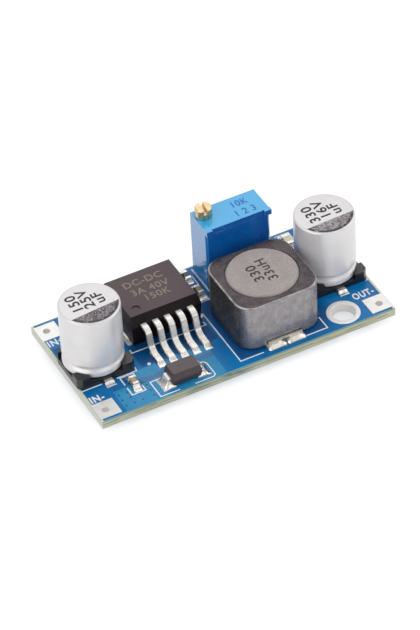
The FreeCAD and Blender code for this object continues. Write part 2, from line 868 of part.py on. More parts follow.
def diode_strap(outward):
    """A strap that leaves the end of the body, drops and folds back under it."""
    middle = strap_thickness / 2
    end = diode_length / 2 + strap_stand_off
    corners = [
        (diode_length / 2 - strap_root, diode_parting_height),
        (end, diode_parting_height),
        (end, middle),
        (end - strap_fold, middle),
    ]
    bends = [strap_bend, strap_bend]
    return formed_strip(V(diode_x, diode_y, seat), outward, corners, bends, strap_thickness, strap_width)


def diode_solder(outward):
    end = diode_length / 2 + strap_stand_off + strap_thickness / 2
    xs = sorted((diode_x + outward.x * (end - strap_fold), diode_x + outward.x * (end + land_toe)))
    joint = land(xs, span(diode_y, diode_width))
    foot = V(diode_x, diode_y, seat) + outward * end
    return joint.fuse(solder_wedge(foot, outward, strap_width, solder_reach, solder_climb))


def diode():
    straps = [diode_strap(LEFT), diode_strap(RIGHT)]
    cuts = 2 * diode_draft
    body = tapered([
        (
            span(diode_x, diode_length - cuts),
            span(diode_y, diode_width - cuts),
            seat + strap_thickness,
        ),
        (span(diode_x, diode_length), span(diode_y, diode_width), seat + diode_parting_height),
        (span(diode_x, diode_length - cuts), span(diode_y, diode_width - cuts), seat + diode_height),
    ])
    return {
        "diode_body": body.cut(straps[0]).cut(straps[1]),
        "diode_input_strap": straps[0],
        "diode_output_strap": straps[1],
        "diode_solder": Part.makeCompound([diode_solder(LEFT), diode_solder(RIGHT)]),
    }


def chip(name, x, y, size, height, end):
    """A chip part that lies along Y: a ceramic body and two plated ends that wrap it."""
    long, wide = size
    skin = chip_end_skin
    whole = block(span(x, wide), span(y, long), (seat, seat + height))
    body = block(span(x, wide - 2 * skin), span(y, long - 2 * skin), (seat + skin, seat + height - skin))
    middle = block(span(x, wide), span(y, long - 2 * end), (0, seat + height + 1))
    ends = whole.cut(body).cut(middle)
    joints = []
    for outward in (FRONT, BACK):
        edge = y + outward.y * long / 2
        ys = sorted((edge - outward.y * end, edge + outward.y * land_toe))
        joint = land(span(x, wide + 2 * land_side_margin), ys)
        climb = min(solder_climb, height)
        joints.append(joint.fuse(solder_wedge(V(x, edge, seat), outward, wide, solder_reach, climb)))
    return {
        name + "_body": body,
        name + "_ends": ends,
        name + "_solder": Part.makeCompound(joints),
    }


def chips():
    size = (chip_long, chip_wide)
    nodes = chip(
        "filter_capacitor",
        left_edge + base_size - filter_capacitor_base_overlap,
        front_edge + filter_capacitor_inset_y,
        size,
        filter_capacitor_height,
        chip_end,
    )
    nodes.update(
        chip(
            "feedback_capacitor",
            feedback_x,
            feedback_capacitor_y,
            size,
            feedback_capacitor_height,
            chip_end,
        )
    )
    nodes.update(
        chip("feedback_resistor", feedback_x, feedback_resistor_y, size, feedback_resistor_height, chip_end)
    )
    nodes.update(
        chip(
            "indicator",
            right_edge - base_size + indicator_base_overlap,
            back_edge - indicator_inset_y,
            (indicator_long, indicator_wide),
            indicator_height,
            indicator_end,
        )
    )
    return nodes


def module():
    nodes = {"circuit_board": circuit_board()}
    names = ["input_positive_land", "input_negative_land", "output_positive_land", "output_negative_land"]
    for name, (x, y) in zip(names, terminal_holes()):
        nodes[name] = terminal_land(x, y)
    for name, (x, y) in zip(["front_mounting_ring", "back_mounting_ring"], mounting_holes()):
        nodes[name] = mounting_ring(x, y)
    nodes.update(can_capacitor("input_capacitor", input_capacitor_x, input_capacitor_offset_y))
    nodes.update(can_capacitor("output_capacitor", output_capacitor_x, output_capacitor_offset_y))
    nodes.update(regulator())
    nodes.update(inductor())
    nodes.update(trimmer())
    nodes.update(diode())
    nodes.update(chips())
    return nodes


os.makedirs("parts", exist_ok=True)
for node, shape in module().items():
    solids = shape.Solids
    whole = solids[0] if len(solids) == 1 else Part.makeCompound(solids)
    whole.exportStep("parts/%s.step" % node)
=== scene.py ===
import json
import math

import bmesh
import bpy
from mathutils import Matrix, Vector, noise


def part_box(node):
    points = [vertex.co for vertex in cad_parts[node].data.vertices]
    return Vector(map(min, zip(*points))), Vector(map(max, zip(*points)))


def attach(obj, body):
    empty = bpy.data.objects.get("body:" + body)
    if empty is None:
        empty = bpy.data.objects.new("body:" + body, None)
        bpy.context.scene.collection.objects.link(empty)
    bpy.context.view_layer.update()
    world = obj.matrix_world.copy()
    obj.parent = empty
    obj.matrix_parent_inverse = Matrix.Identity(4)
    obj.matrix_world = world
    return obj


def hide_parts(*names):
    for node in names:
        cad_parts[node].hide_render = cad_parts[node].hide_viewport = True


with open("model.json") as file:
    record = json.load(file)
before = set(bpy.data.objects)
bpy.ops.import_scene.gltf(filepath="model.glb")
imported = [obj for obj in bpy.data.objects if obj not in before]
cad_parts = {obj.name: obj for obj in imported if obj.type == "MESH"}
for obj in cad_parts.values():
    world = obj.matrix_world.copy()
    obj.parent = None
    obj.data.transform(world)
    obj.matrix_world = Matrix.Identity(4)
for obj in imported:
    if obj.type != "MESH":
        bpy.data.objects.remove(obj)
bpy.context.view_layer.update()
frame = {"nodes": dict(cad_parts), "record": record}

# Everything below is placed in millimetres, and turned into the frame's metres where it is built.
MM = 0.001
BOARD = "board_assembly"
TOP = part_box("circuit_board")[1].z / MM
# How far the edges of solder and plating reach into the board, so that no seam shows
SUNK = 0.02
REGULATOR_LEADS = ["regulator_lead_%d" % number for number in (1, 2, 3, 4, 5)]
nodes = frame["nodes"]


def box(node):
    """The two corners of a node's box, in millimetres."""
    low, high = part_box(node)
    return low / MM, high / MM


def middle(node):
    """The middle of a node's box, in millimetres."""
    low, high = box(node)
    return (low + high) / 2


# Materials

def linear(code):
    """A colour written as six hex digits of sRGB, as the shader wants it."""
    parts = [int(code[i:i + 2], 16) / 255 for i in (0, 2, 4)]
    return tuple(c / 12.92 if c <= 0.04045 else ((c + 0.055) / 1.055) ** 2.4 for c in parts) + (1.0,)


class Finish:
    """A principled material whose textures are laid out in millimetres of the object's own space."""

    def __init__(self, name, colour, roughness=0.5, metallic=0.0, **sockets):
        self.material = bpy.data.materials.new(name)
        self.material.use_nodes = True
        self.tree = self.material.node_tree
        self.bsdf = self.tree.nodes["Principled BSDF"]
        self.bsdf.inputs["Base Color"].default_value = linear(colour)
        self.bsdf.inputs["Roughness"].default_value = roughness
        self.bsdf.inputs["Metallic"].default_value = metallic
        for socket, value in sockets.items():
            self.bsdf.inputs[socket.replace("_", " ").title().replace("Ior", "IOR")].default_value = value
        own_space = self.node("ShaderNodeTexCoord").outputs["Object"]
        scaled = self.node("ShaderNodeVectorMath", {0: own_space, "Scale": 1 / MM}, operation="SCALE")
        self.place = scaled.outputs["Vector"]
        self.height = None

    def feed(self, socket, value):
        """Links an output to a socket, or sets the socket's own value."""
        if isinstance(value, bpy.types.NodeSocket):
            self.tree.links.new(value, socket)
        else:
            socket.default_value = value

    def node(self, kind, inputs=None, **settings):
        made = self.tree.nodes.new(kind)
        for key, value in settings.items():
            setattr(made, key, value)
        for key, value in (inputs or {}).items():
            self.feed(made.inputs[key], value)
        return made

    def link(self, output, socket):
        self.tree.links.new(output, self.bsdf.inputs[socket])

    def noise(self, scale, detail=3.0, stretch=(1, 1, 1), roughness=0.55):
        """A noise with this many waves in a millimetre."""
        stretched = self.node("ShaderNodeVectorMath", {0: self.place, 1: stretch}, operation="MULTIPLY")
        inputs = {"Vector": stretched.outputs[0], "Scale": scale, "Detail": detail, "Roughness": roughness}
        return self.node("ShaderNodeTexNoise", inputs).outputs["Fac"]

    def spread(self, value, low, high, out_low=0.0, out_high=1.0):
        """Maps the range from low to high onto another, and clamps what lies outside it."""
        inputs = {"Value": value, "From Min": low, "From Max": high, "To Min": out_low, "To Max": out_high}
        return self.node("ShaderNodeMapRange", inputs).outputs["Result"]

    def mix(self, factor, first, second):
        """A blend of two colours, on the mix node's colour sockets."""
        made = self.node("ShaderNodeMix", data_type="RGBA")
        for index, value in ((0, factor), (6, first), (7, second)):
            self.feed(made.inputs[index], value)
        return made.outputs[2]

    def math(self, operation, a, b=0.0):
        return self.node("ShaderNodeMath", {0: a, 1: b}, operation=operation).outputs[0]

    def axis(self, name):
        return self.node("ShaderNodeSeparateXYZ", {0: self.place}).outputs[name]

    def from_middle(self, name):
        return self.math("ABSOLUTE", self.axis(name))

    def zone(self, x0, y0, x1, y1, soft):
        """One inside a rectangle of the plan, falling to nothing over a soft border inside it."""
        x, y = self.axis("X"), self.axis("Y")
        across = self.math("MINIMUM", self.spread(x, x0, x0 + soft), self.spread(x, x1, x1 - soft))
        along = self.math("MINIMUM", self.spread(y, y0, y0 + soft), self.spread(y, y1, y1 - soft))
        return self.math("MINIMUM", across, along)

    def facing(self, axis="Z"):
        """How far the surface faces along an axis of the frame, from -1 to 1."""
        normal = self.node("ShaderNodeNewGeometry").outputs["Normal"]
        return self.node("ShaderNodeSeparateXYZ", {0: normal}).outputs[axis]

    def colour(self):
        socket = self.bsdf.inputs["Base Color"]
        return socket.links[0].from_socket if socket.is_linked else tuple(socket.default_value)

    def tint(self, factor, second):
        """Lays a second colour over what is there, as far as the factor says."""
        self.link(self.mix(factor, self.colour(), linear(second)), "Base Color")
        return self

    def mottle(self, second, scale, low=0.35, high=0.65):
        """Blends patches of a second colour into the first."""
        return self.tint(self.spread(self.noise(scale, detail=4.0), low, high), second)

    def worn(self, scale, low, high):
        """Lets the roughness wander between two values."""
        self.link(self.spread(self.noise(scale, detail=4.0), 0.3, 0.7, low, high), "Roughness")
        return self

    def grain(self, scale, depth, detail=4.0, stretch=(1, 1, 1)):
        """Adds relief, depth in millimetres."""
        inputs = {"Height": self.noise(scale, detail, stretch), "Distance": depth * MM, "Strength": 1.0}
        bump = self.node("ShaderNodeBump", inputs)
        if self.height is not None:
            self.feed(bump.inputs["Normal"], self.height)
        self.height = bump.outputs["Normal"]
        self.link(self.height, "Normal")
        return self


# Where the copper stops under the mask, which looks darker there, and painted shade round the inductor and on
# the board to its right: x0, y0, x1, y1 and the soft border
BARE_AND_SHADE_ZONES = (
    (-0.9, -9.4, 12.6, 4.7, 0.5),
    # painted shadow of the inductor on the board to its right
    (11.0, -8.6, 14.2, 3.0, 1.5),
    (-12.6, -4.0, -1.2, 0.6, 0.3),
    (-21.3, 3.8, -17.6, 5.3, 0.35),
)
# Distances from the middle of the board where its pale rims and its end faces begin
END_RIM = 21.32
LONG_RIM = 10.36
END_FACE = 21.58
# Heights of the laminate's bluish skin, its darker core line and its pale foot
SKIN_Z = 1.1
CORE_Z = 0.66
FOOT_Z = 0.14


def make_mask():
    """Blue solder mask on the faces of the board and cut glass laminate on its edges."""
    f = Finish("board_mask", "0070B2", roughness=0.3, specular_ior_level=0.25)
    f.mottle("007CC0", 0.35).mottle("0062A2", 0.12, 0.45, 0.75)
    on_top = f.math("MULTIPLY", f.math("GREATER_THAN", f.facing(), 0.5), 0.8)
    for bare in BARE_AND_SHADE_ZONES:
        # the board's top darkened in these zones: partly bare laminate, partly painted shade
        f.tint(f.math("MULTIPLY", f.zone(*bare), on_top), "08447E")
    side = f.math("LESS_THAN", f.math("ABSOLUTE", f.facing()), 0.5)
    long_rim = f.math("GREATER_THAN", f.from_middle("Y"), LONG_RIM)
    painted = f.mix(long_rim, f.colour(), linear("7DAAAE"))
    painted = f.mix(f.math("GREATER_THAN", f.from_middle("X"), END_RIM), painted, linear("DADDB6"))
    layers = f.spread(f.noise(4.0, 3.0, (0.06, 0.06, 0.75)), 0.4, 0.62)
    cloud = f.spread(f.noise(0.25, 2.0), 0.4, 0.65)
    warm = f.math("MULTIPLY", f.spread(f.axis("X"), 2.0, 17.0), 0.6)
    corner = f.spread(f.from_middle("X"), 16.5, 21.4, 0.0, 0.65)
    skin = f.math("GREATER_THAN", f.axis("Z"), SKIN_Z)
    from_core = f.math("ABSOLUTE", f.math("SUBTRACT", f.axis("Z"), CORE_Z))
    broken = f.spread(f.noise(0.5, 2.0), 0.35, 0.5)
    core = f.math("MULTIPLY", f.spread(from_core, 0.06, 0.13, 1.0, 0.0), broken)
    foot = f.math("LESS_THAN", f.axis("Z"), FOOT_Z)
    # painted light: the board's end faces are painted paler
    lit_end_face = f.math("GREATER_THAN", f.from_middle("X"), END_FACE)
    laminate = f.mix(layers, linear("84958A"), linear("D2D5C0"))
    for factor, colour in (
        (cloud, "CBC9AC"), (warm, "DDD7B4"), (corner, "E6E2C4"), (skin, "7FA5A6"),
        (f.math("MULTIPLY", core, 0.55), "6E8A92"), (foot, "D2D6CA"),
        (f.math("MULTIPLY", lit_end_face, 0.85), "F0F2EE"),
    ):
        laminate = f.mix(factor, laminate, linear(colour))
    f.link(f.mix(side, painted, laminate), "Base Color")
    f.link(f.spread(f.math("MAXIMUM", side, long_rim), 0.0, 1.0, 0.28, 0.75), "Roughness")
    return f.grain(3.0, 0.004).material


def make_mask_over_copper(name, colour, second):
    """The same mask where copper lies under it."""
    f = Finish(name, colour, roughness=0.28, specular_ior_level=0.25)
    return f.mottle(second, 0.35).mottle(colour, 0.1).grain(2.0, 0.004).material


def make_can():
    """Satin lacquer over drawn aluminium, with faint upright draw marks."""
    f = Finish("can_aluminium", "EBE9EA", roughness=0.32, metallic=0.3, coat_weight=0.2, coat_roughness=0.22)
    f.mottle("F2F0F1", 0.3).worn(1.2, 0.28, 0.4)
    # painted shade: the can's end is painted a shade greyer than its sides
    f.tint(f.spread(f.facing(), 0.6, 0.95), "D6D3D4")
    return f.grain(2.5, 0.004, 3.0, (1.0, 1.0, 0.15)).material


def make_can_print(name, centre, dark, pale):
    """The half-moon on the can's end: flecks of bare metal inside, and a darker band along the rim that is
    painted shade.
    """
    f = Finish(name, dark, roughness=0.42)
    fleck = f.spread(f.noise(2.4, 5.0, roughness=0.7), 0.42, 0.6)
    mark = f.mix(fleck, linear(dark), linear(pale))
    fine = f.spread(f.noise(5.5, 3.0), 0.58, 0.68)
    mark = f.mix(fine, mark, linear("C9C3C8"))
    across = f.math("SUBTRACT", f.axis("X"), centre.x)
    along = f.math("SUBTRACT", f.axis("Y"), centre.y)
    square = f.math("ADD", f.math("MULTIPLY", across, across), f.math("MULTIPLY", along, along))
    # painted shade: a darker band just inside the can's rim, broken by noise
    rim = f.spread(f.math("SQRT", square), 3.4, 3.58)
    broken = f.spread(f.noise(1.6, 4.0), 0.36, 0.44)
    f.link(f.mix(f.math("MULTIPLY", rim, broken), mark, linear("241C20")), "Base Color")
    return f.grain(6.0, 0.02, 2.0).material


def make_moulding(name, colour, second, roughness, top=None, **sockets):
    """Moulded resin; given a top colour, its top face is painted paler as painted light."""
    f = Finish(name, colour, roughness=roughness, **sockets)
    f.mottle(second, 1.1).worn(2.0, roughness - 0.05, roughness + 0.07)
    if top:
        # painted light: the top face is paler
        f.tint(f.spread(f.facing(), 0.7, 0.95), top)
    return f.grain(12.0, 0.006, 3.0).material


def make_ferrite():
    """Pressed ferrite: pores and faint press marks on the sides, painted shade on its left side, a paler
    rounded top edge that is partly wear and partly a painted highlight, and a darker top frame.
    """
    f = Finish("ferrite", "827F82", roughness=0.33, metallic=0.6, specular_ior_level=0.8)
    streak = f.spread(f.noise(1.5, 5.0, (1.0, 1.0, 0.75)), 0.3, 0.72)
    sides = f.mix(streak, linear("858083"), linear("A5A1A4"))
    blotch = f.spread(f.noise(0.45, 3.0), 0.4, 0.68)
    sides = f.mix(f.math("MULTIPLY", blotch, 0.25), sides, linear("ABA7AA"))
    speck = f.spread(f.noise(7.0, 3.0), 0.6, 0.72)
    sides = f.mix(speck, sides, linear("A5A2A6"))
    pores = f.spread(f.noise(4.5, 3.0, (1.0, 1.0, 0.7)), 0.66, 0.72)
    sides = f.mix(pores, sides, linear("3C393C"))
    cloud = f.spread(f.noise(0.9, 5.0), 0.35, 0.7)
    top = f.mix(cloud, linear("2A2226"), linear("4A4044"))
    top = f.mix(f.spread(f.noise(6.0, 4.0), 0.58, 0.74, 0.0, 0.6), top, linear("857B7F"))
    up = f.spread(f.facing(), 0.85, 0.99)
    # painted shade: the side facing left is darkened
    painted_left_shade = f.spread(f.facing("X"), -0.95, -0.6, 0.85, 0.0)
    sides = f.mix(painted_left_shade, sides, linear("2A2829"))
    # the rounded top edge is paler, partly wear and partly a painted highlight
    wear_and_highlight = f.spread(f.noise(0.8, 5.0), 0.42, 0.62, 0.0, 0.85)
    rounded = f.math("MULTIPLY", f.spread(f.facing(), 0.15, 0.6), wear_and_highlight)
    sides = f.mix(rounded, sides, linear("B8B0B1"))
    f.link(f.mix(up, sides, top), "Base Color")
    f.link(f.spread(f.noise(3.0), 0.3, 0.7, 0.24, 0.38), "Roughness")
    return f.grain(7.0, 0.009, 4.0).material


def make_ferrite_ground():
    """The ground end of the drum core: warm grey with fine darker and paler specks."""
    f = Finish("ferrite_ground", "8F8582", roughness=0.38, specular_ior_level=0.8)
    f.mottle("A79D99", 0.35, 0.3, 0.7).mottle("7C7270", 4.5, 0.5, 0.72).mottle("AEA4A0", 7.0, 0.56, 0.7)
    return f.worn(2.5, 0.32, 0.48).grain(8.0, 0.008, 4.0).material


def make_solder():
    """Bright solder with patches of brown flux."""
    f = Finish("solder", "E6E3E0", roughness=0.27, metallic=1.0)
    f.mottle("D0CCC6", 1.3, 0.4, 0.8).mottle("A08A78", 0.9, 0.63, 0.72).worn(2.5, 0.21, 0.37)
    return f.grain(5.0, 0.004, 3.0).material


def make_trimmer():
    """Glossy blue resin, with painted light: paler on the housing's ends and lighter still on its top."""
    f = Finish(
        "trimmer_blue", "0A5CB0", roughness=0.3, specular_ior_level=0.2, coat_weight=1.0, coat_roughness=0.05,
    )
    f.mottle("0C66BA", 0.4)
    # painted light: the ends and the top are tinted paler by the way they face
    f.tint(f.spread(f.math("ABSOLUTE", f.facing("X")), 0.3, 0.9), "3690D8")
    f.tint(f.spread(f.facing(), 0.7, 0.95), "18ACEA")
    return f.worn(1.5, 0.24, 0.34).grain(0.8, 0.001, 1.0).material


def make_brass():
    """The screw's brass, with fine turning marks."""
    f = Finish("screw_brass", "C9AE86", roughness=0.34, metallic=1.0)
    f.mottle("DCC8A6", 1.4, 0.4, 0.75).worn(3.0, 0.26, 0.42)
    return f.grain(7.0, 0.01, 3.0, (1, 1, 6)).material


def make_plain(name, colour, second, scale, roughness, metallic=0.0, grain=0.004):
    """Patches of two near colours, with a roughness that wanders and a fine grain."""
    f = Finish(name, colour, roughness=roughness, metallic=metallic)
    f.mottle(second, scale).worn(scale * 2, roughness - 0.05, roughness + 0.08)
    return f.grain(6.0, grain, 3.0).material


finish = {
    "board_mask": make_mask(),
    "mask_over_copper": make_mask_over_copper("mask_over_copper", "1C8AC0", "3A9ACA"),
    "mask_thin": make_mask_over_copper("mask_thin", "4474A6", "5080B2"),
    "can_aluminium": make_can(),
    "can_print_input": make_can_print(
        "can_print_input", middle("input_capacitor_can"), "332B31", "8F858C",
    ),
    "can_print_output": make_can_print(
        "can_print_output", middle("output_capacitor_can"), "5C5359", "AFA7AB",
    ),
    "black_moulding": make_moulding("black_moulding", "151417", "1E1D20", 0.36, specular_ior_level=0.6),
    # The paler tops of the regulator and the diode are painted light
    "regulator_moulding": make_moulding(
        "regulator_moulding", "180E11", "20161A", 0.42, top="5E5053", specular_ior_level=0.2,
    ),
    "diode_moulding": make_moulding("diode_moulding", "40353A", "4A3F43", 0.42, top="54464A"),
    "ferrite": make_ferrite(),
    "ferrite_ground": make_ferrite_ground(),
    "solder": make_solder(),
    "trimmer_blue": make_trimmer(),
    "screw_brass": make_brass(),
}
# Name, colour, second colour, patches per mm, roughness, metallic and grain in mm
for name, *look in (
    ("tinned_copper", "E8E6E3", "F1EFEC", 1.1, 0.4, 0.4),
    ("ring_plating", "F3F0EE", "F8F6F4", 1.1, 0.36, 0.2),
    ("tinned_lead", "F0EDE8", "E2DED8", 1.3, 0.3, 0.6, 0.003),
    ("solder_dull", "EAE5DC", "D9D3C8", 1.4, 0.3, 0.7),
    ("copper_wire", "A4542B", "B96A3A", 3.0, 0.3, 0.6),
    ("adhesive", "564D4F", "6A6163", 2.0, 0.5),
    ("seal_rubber", "5A2018", "6B2A20", 2.0, 0.6),
    ("wheel_nylon", "E4E0D4", "D8D3C4", 1.0, 0.5),
    ("wiper_brass", "C8B48A", "B8A276", 2.0, 0.3, 1.0),
    ("element_ceramic", "E9E6DE", "DAD6CC", 1.0, 0.6),
    ("chip_ceramic", "A98A62", "C2A276", 2.2, 0.45),
    ("chip_plating", "D8D6D3", "BDBAB6", 3.0, 0.3, 1.0, 0.01),
    ("chip_resistor", "3A3A40", "4C4C52", 2.0, 0.35),
    ("indicator_resin", "E6DDB4", "F0E8C8", 2.0, 0.3),
    ("silk_white", "F7F8FA", "EFF2F6", 3.0, 0.6),
    ("print_dark", "231C1F", "332B2E", 4.0, 0.6),
    ("print_faint", "988878", "84766A", 4.0, 0.6),
    ("print_blue", "0E74BE", "0C68AE", 4.0, 0.5),
    # the trimmer's raised marks, a paler blue that is a painted highlight
    ("mark_blue", "3C84CC", "2F78C4", 2.0, 0.4),
    ("print_ferrite", "2E2829", "3B3435", 4.0, 0.6),
    ("via_ring", "0A3F78", "0B4784", 3.0, 0.3),
):
    finish[name] = make_plain(name, *look)


# Geometry helpers

# The least cosine that a drawn line's mitre is worked out from, so that a sharp corner stays short
SHARPEST_MITRE = 0.35
# A font's size over the height of its capitals
SIZE_OF_CAPITALS = 1.38
PRINT_THICKNESS = 0.01
# The turns of a rounded corner, in degrees
CORNER_TURNS = (0.0, 22.5, 45.0, 67.5, 90.0)
BEVEL_SEGMENTS = 3
# Edges whose faces meet at more than this many degrees are rounded
BEVEL_ANGLE = 35


def piece(name, bm, material, body=BOARD, smooth=True):
    """Turns a bmesh in millimetres into a piece that rides a body."""
    bmesh.ops.recalc_face_normals(bm, faces=bm.faces[:])
    mesh = bpy.data.meshes.new(name)
    bmesh.ops.scale(bm, vec=(MM, MM, MM), verts=bm.verts[:])
    for face in bm.faces:
        face.smooth = smooth
    bm.to_mesh(mesh)
    bm.free()
    made = bpy.data.objects.new(name, mesh)
    bpy.context.scene.collection.objects.link(made)
    mesh.materials.append(finish[material])
    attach(made, body)
    return made


def plates(name, outlines, z, thickness, material, body=BOARD):
    """Flat plates, each from a closed outline of (x, y), standing on z."""
    bm = bmesh.new()
    for outline in outlines:
        low = [bm.verts.new((x, y, z)) for x, y in outline]
        high = [bm.verts.new((x, y, z + thickness)) for x, y in outline]
        bm.faces.new(high)
        bm.faces.new(low[::-1])
        for i in range(len(outline)):
            j = (i + 1) % len(outline)
            bm.faces.new((low[i], low[j], high[j], high[i]))
    piece(name, bm, material, body, smooth=False)


def line_outline(points, width):
    """The outline of a drawn line: mitred at its corners and rounded at its ends."""
    half = width / 2
    path = [Vector(p) for p in points]
    count = len(path)
    left, right = [], []
    for i in range(count):
        before = path[i] - path[i - 1] if i > 0 else path[1] - path[0]
        after = path[i + 1] - path[i] if i < count - 1 else path[-1] - path[-2]
        before, after = before.normalized(), after.normalized()
        normal = Vector((-(before + after).y, (before + after).x)).normalized()
        reach = half / max(SHARPEST_MITRE, normal.dot(Vector((-before.y, before.x))))
        left.append(path[i] + normal * reach)
        right.append(path[i] - normal * reach)

    def cap(centre, heading):
        start = math.atan2(heading.y, heading.x)
        return [
            centre + Vector((math.cos(start + a), math.sin(start + a))) * half
            for a in (-math.pi / 4, 0, math.pi / 4)
        ]

    end = cap(path[-1], (path[-1] - path[-2]).normalized())
    start = cap(path[0], (path[0] - path[1]).normalized())
    outline = right + end + left[::-1] + start
    return [(p.x, p.y) for p in outline]


def disc(x, y, radius, count=24):
    """The outline of a circle."""
    steps = [2 * math.pi * i / count for i in range(count)]
    return [(x + radius * math.cos(a), y + radius * math.sin(a)) for a in steps]


def rectangle(x0, y0, x1, y1, corner=0.0):
    """The outline of a rectangle, with rounded corners if they have a radius."""
    if not corner:
        return [(x0, y0), (x1, y0), (x1, y1), (x0, y1)]
    points = []
    for cx, cy, start in (
        (x1 - corner, y0 + corner, -90), (x1 - corner, y1 - corner, 0),
        (x0 + corner, y1 - corner, 90), (x0 + corner, y0 + corner, 180),
    ):
        for turn in CORNER_TURNS:
            a = math.radians(start + turn)
            points.append((cx + corner * math.cos(a), cy + corner * math.sin(a)))
    return points


def lettering(name, words, place, height, turn, material, body=BOARD, narrow=0.85, weight=0.025):
    """Printed characters, their lower left corner at place, reading along `turn` degrees."""
    curve = bpy.data.curves.new(name, "FONT")
    curve.body = words
    curve.size = height * SIZE_OF_CAPITALS * MM
    curve.extrude = PRINT_THICKNESS * MM / 2
    curve.space_character = 1.06 + 2 * weight / height
    curve.offset = weight * MM
    made = bpy.data.objects.new(name, curve)
    bpy.context.scene.collection.objects.link(made)
    x, y, z = place
    made.matrix_world = (
        Matrix.Translation(Vector((x, y, z + PRINT_THICKNESS / 2)) * MM)
        @ Matrix.Rotation(math.radians(turn), 4, "Z")
        @ Matrix.Diagonal((narrow, 1, 1, 1))
    )
    curve.materials.append(finish[material])
    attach(made, body)


def lathe(name, profile, x, y, material, steps, body=BOARD, closed=False):
    """A turned piece from (radius, height) pairs: from the axis round to the axis, or a closed loop."""
    bm = bmesh.new()
    rings = []
    for radius, z in profile:
        if radius < 1e-6:
            rings.append([bm.verts.new((x, y, z))])
            continue
        ring = []
        for i in range(steps):
            a = 2 * math.pi * i / steps
            ring.append(bm.verts.new((x + radius * math.cos(a), y + radius * math.sin(a), z)))
        rings.append(ring)
    for lower, upper in zip(rings, rings[1:] + rings[:1] if closed else rings[1:]):
        for i in range(steps):
            j = (i + 1) % steps
            corners = [lower[i % len(lower)], lower[j % len(lower)]]
            corners += [upper[j % len(upper)], upper[i % len(upper)]]
            distinct = list(dict.fromkeys(corners))
            if len(distinct) > 2:
                bm.faces.new(distinct)
    return piece(name, bm, material, body)


def arc(cx, cz, radius, start, end, steps):
    """Points along an arc, between two angles in degrees."""
    angles = [math.radians(start + (end - start) * i / steps) for i in range(steps + 1)]
    return [(cx + radius * math.cos(a), cz + radius * math.sin(a)) for a in angles]


def soften(node, width):
    """Rounds a CAD node's sharp edges so that they catch the light."""
    made = nodes[node].modifiers.new("edge", "BEVEL")
    made.width = width * MM
    made.segments = BEVEL_SEGMENTS
    made.limit_method = "ANGLE"
    made.angle_limit = math.radians(BEVEL_ANGLE)
    made.harden_normals = True


def dress(node, material):
    """Gives a CAD node its one material."""
    mesh = nodes[node].data
    mesh.materials.clear()
    mesh.materials.append(finish[material])


# Every CAD node takes the finish of its slot, and four take one of their own

for part in frame["record"]["subparts"]:
    dress(part["node"], part["material_slot"])
dress("regulator_body", "regulator_moulding")
dress("diode_body", "diode_moulding")
dress("inductor_front_clip", "solder_dull")
dress("inductor_back_clip", "solder_dull")

# Camera, at the photograph's place: the focal length is in the photo's pixels

SENSOR_SIZE = 36.0
FOCAL_LENGTH = 3647.5
PHOTO_HEIGHT = 630
camera_data = bpy.data.cameras.new("camera")
camera_data.sensor_width = SENSOR_SIZE
camera_data.lens = FOCAL_LENGTH / PHOTO_HEIGHT * SENSOR_SIZE
camera_data.clip_start = 0.01
camera_data.clip_end = 50.0
camera = bpy.data.objects.new("camera", camera_data)
right = Vector((0.883964, -0.465686, -0.041772))
up = Vector((0.339011, 0.576848, 0.743181))
back = Vector((-0.321993, -0.671106, 0.667786))
spot = Vector((-155.0267, -322.2203, 321.2819 + TOP)) * MM
camera.matrix_world = Matrix.Translation(spot) @ Matrix((right, up, back)).transposed().to_4x4()
bpy.context.scene.collection.objects.link(camera)
bpy.context.scene.camera = camera
bpy.context.scene.view_settings.view_transform = "Standard"

# Floor and light

FLOOR_REACH = 900
floor_z = box("trimmer_pin_1")[0].z
bm = bmesh.new()
for x, y in ((-1, -1), (1, -1), (1, 1), (-1, 1)):
    bm.verts.new((x * FLOOR_REACH * MM, y * FLOOR_REACH * MM, floor_z * MM))
bm.faces.new(bm.verts[:])
floor_mesh = bpy.data.meshes.new("floor")
bm.to_mesh(floor_mesh)
bm.free()
floor = bpy.data.objects.new("floor", floor_mesh)
bpy.context.scene.collection.objects.link(floor)


def lit_background(tree, soft, white, out_socket):
    """Shows pure white to the camera, glossy and transmitted rays, and the soft light to everything else."""
    path = tree.nodes.new("ShaderNodeLightPath")
    clear = path.outputs["Is Camera Ray"]
    for kind in ("Is Glossy Ray", "Is Transmission Ray"):
        either = tree.nodes.new("ShaderNodeMath")
        either.operation = "MAXIMUM"
        tree.links.new(clear, either.inputs[0])
        tree.links.new(path.outputs[kind], either.inputs[1])
        clear = either.outputs[0]
    blend = tree.nodes.new("ShaderNodeMixShader")
    for index, output in enumerate((clear, soft, white)):
        tree.links.new(output, blend.inputs[index])
    tree.links.new(blend.outputs[0], out_socket)


paper = bpy.data.materials.new("paper")
paper.use_nodes = True
paper_tree = paper.node_tree
paper_shader = paper_tree.nodes["Principled BSDF"]
paper_shader.inputs["Base Color"].default_value = (0.6, 0.6, 0.6, 1)
paper_shader.inputs["Roughness"].default_value = 1.0
paper_shader.inputs["Specular IOR Level"].default_value = 0.0
paper_glow = paper_tree.nodes.new("ShaderNodeEmission")
paper_glow.inputs["Color"].default_value = (1, 1, 1, 1)
paper_glow.inputs["Strength"].default_value = 0.6
paper_lit = paper_tree.nodes.new("ShaderNodeAddShader")
paper_tree.links.new(paper_shader.outputs[0], paper_lit.inputs[0])
paper_tree.links.new(paper_glow.outputs[0], paper_lit.inputs[1])
lit_background(
    paper_tree, paper_shader.outputs[0], paper_lit.outputs[0],
    paper_tree.nodes["Material Output"].inputs["Surface"],
)
floor_mesh.materials.append(paper)

world = bpy.data.worlds.new("studio")
world.use_nodes = True
world_tree = world.node_tree
world_soft = world_tree.nodes["Background"]
world_soft.inputs["Color"].default_value = (1, 1, 1, 1)
world_soft.inputs["Strength"].default_value = 0.5
